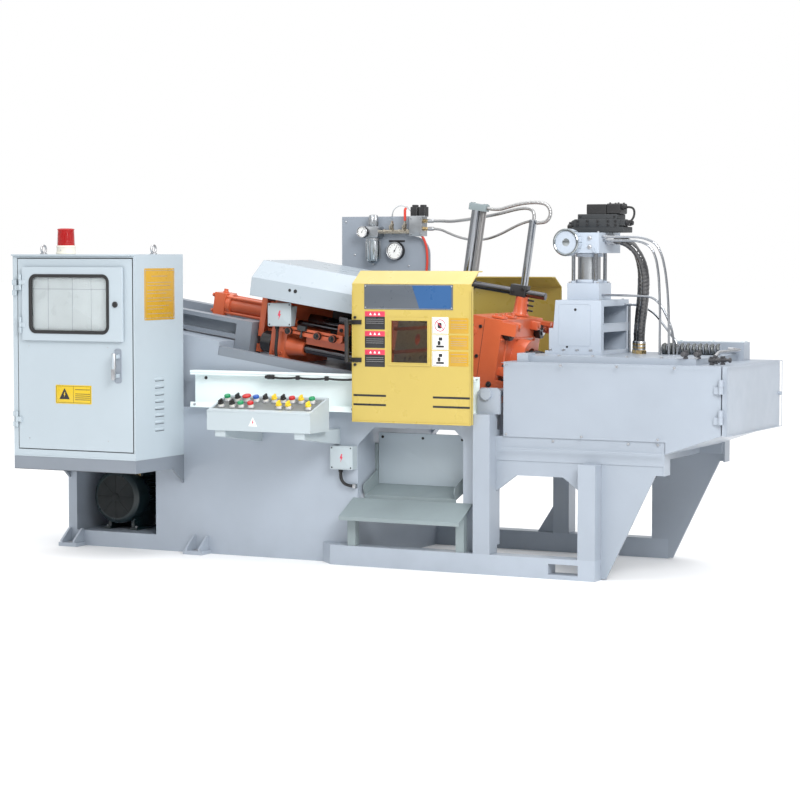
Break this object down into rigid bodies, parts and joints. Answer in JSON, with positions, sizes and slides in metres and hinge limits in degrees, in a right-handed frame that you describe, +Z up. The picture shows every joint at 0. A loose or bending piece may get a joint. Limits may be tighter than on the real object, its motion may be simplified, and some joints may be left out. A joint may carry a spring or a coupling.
{
  "type": "die casting machine",
  "caption": "Small hot-chamber die casting machine: sloped clamp unit with four tie bars, sliding safety guard, furnace box on legs, upright injection cylinder and a control cabinet.",
  "frame": {"origin": "on the floor, under the middle of the machine's base box", "axes": "+X along the machine from the clamping end towards the furnace, +Y from the operator's side towards the back, +Z up"},
  "size_m": [3.766, 1.528, 1.8381],
  "materials": {
    "machine_grey": "satin",
    "cabinet_grey": "fine textured satin",
    "console_white": "satin",
    "guard_yellow": "semi-gloss",
    "clamp_orange": "semi-gloss",
    "hood_white": "semi-gloss",
    "bar_steel": "polished",
    "black_steel": "satin",
    "motor_green": "satin",
    "tray_grey": "satin",
    "beacon_red": "gloss",
    "handle_black": "matte",
    "window_clear": "clear",
    "hose_black": "wrapped in clear film",
    "pipe_grey": "satin",
    "valve_dark": "satin",
    "bright_steel": "brushed"
  },
  "bodies": {
    "machine": {"base_box": "machine_grey", "bed_housing": "machine_grey", "guide_rails": "machine_grey", "bed_channels": "machine_grey", "floor_feet": "machine_grey", "pump_motor": "motor_green", "control_cabinet": "cabinet_grey", "cabinet_platform": "machine_grey", "lifting_eyes": "bright_steel", "beacon": "beacon_red", "door_rails": "console_white", "control_console": "console_white", "rear_guard": "guard_yellow", "skid_tubes": "machine_grey", "furnace_frame": "machine_grey", "frame_gussets": "machine_grey", "furnace_box": "machine_grey", "furnace_cover": "machine_grey", "injection_stand": "machine_grey", "shot_cylinder": "machine_grey", "shot_manifold": "machine_grey", "shot_valves": "valve_dark", "tie_bars": "bar_steel", "tail_stock": "clamp_orange", "clamp_cylinder": "clamp_orange", "fixed_platen": "clamp_orange", "limit_bar": "clamp_orange", "clamp_hood": "hood_white", "junction_boxes": "console_white", "air_panel": "machine_grey", "air_set": "bright_steel", "spray_stand": "bar_steel", "nozzle": "black_steel", "casting_chute": "tray_grey", "oil_hoses": "hose_black", "spray_hoses": "pipe_grey", "thin_pipes": "pipe_grey"},
    "sliding_guard": {"front_door": "guard_yellow", "door_window": "window_clear", "door_handle": "handle_black"},
    "cabinet_leaf": {"cabinet_door": "cabinet_grey"},
    "flap_leaf": {"window_flap": "cabinet_grey"},
    "furnace_leaf": {"furnace_door": "machine_grey"},
    "clamp_carriage": {"moving_platen": "clamp_orange", "clamp_ram": "bar_steel"}
  },
  "joints": [
    {"name": "guard_slide", "type": "slide", "parent": "machine", "child": "sliding_guard", "axis": [-1, 0, 0], "range_m": [0, 0.62]},
    {"name": "cabinet_door_hinge", "type": "hinge", "parent": "machine", "child": "cabinet_leaf", "pos_m": [-1.205, -0.915, 1.05], "axis": [0, 0, -1], "range_deg": [0, 115]},
    {"name": "window_flap_hinge", "type": "hinge", "parent": "cabinet_leaf", "child": "flap_leaf", "pos_m": [-1.167, -0.93, 1.3], "axis": [0, 0, -1], "range_deg": [0, 95]},
    {"name": "furnace_door_hinge", "type": "hinge", "parent": "machine", "child": "furnace_leaf", "pos_m": [2.495, -0.483, 0.88], "axis": [0, 0, -1], "range_deg": [0, 110]},
    {"name": "clamp_slide", "type": "slide", "parent": "machine", "child": "clamp_carriage", "axis": [0.989, 0, -0.1478], "range_m": [0, 0.2]}
  ]
}
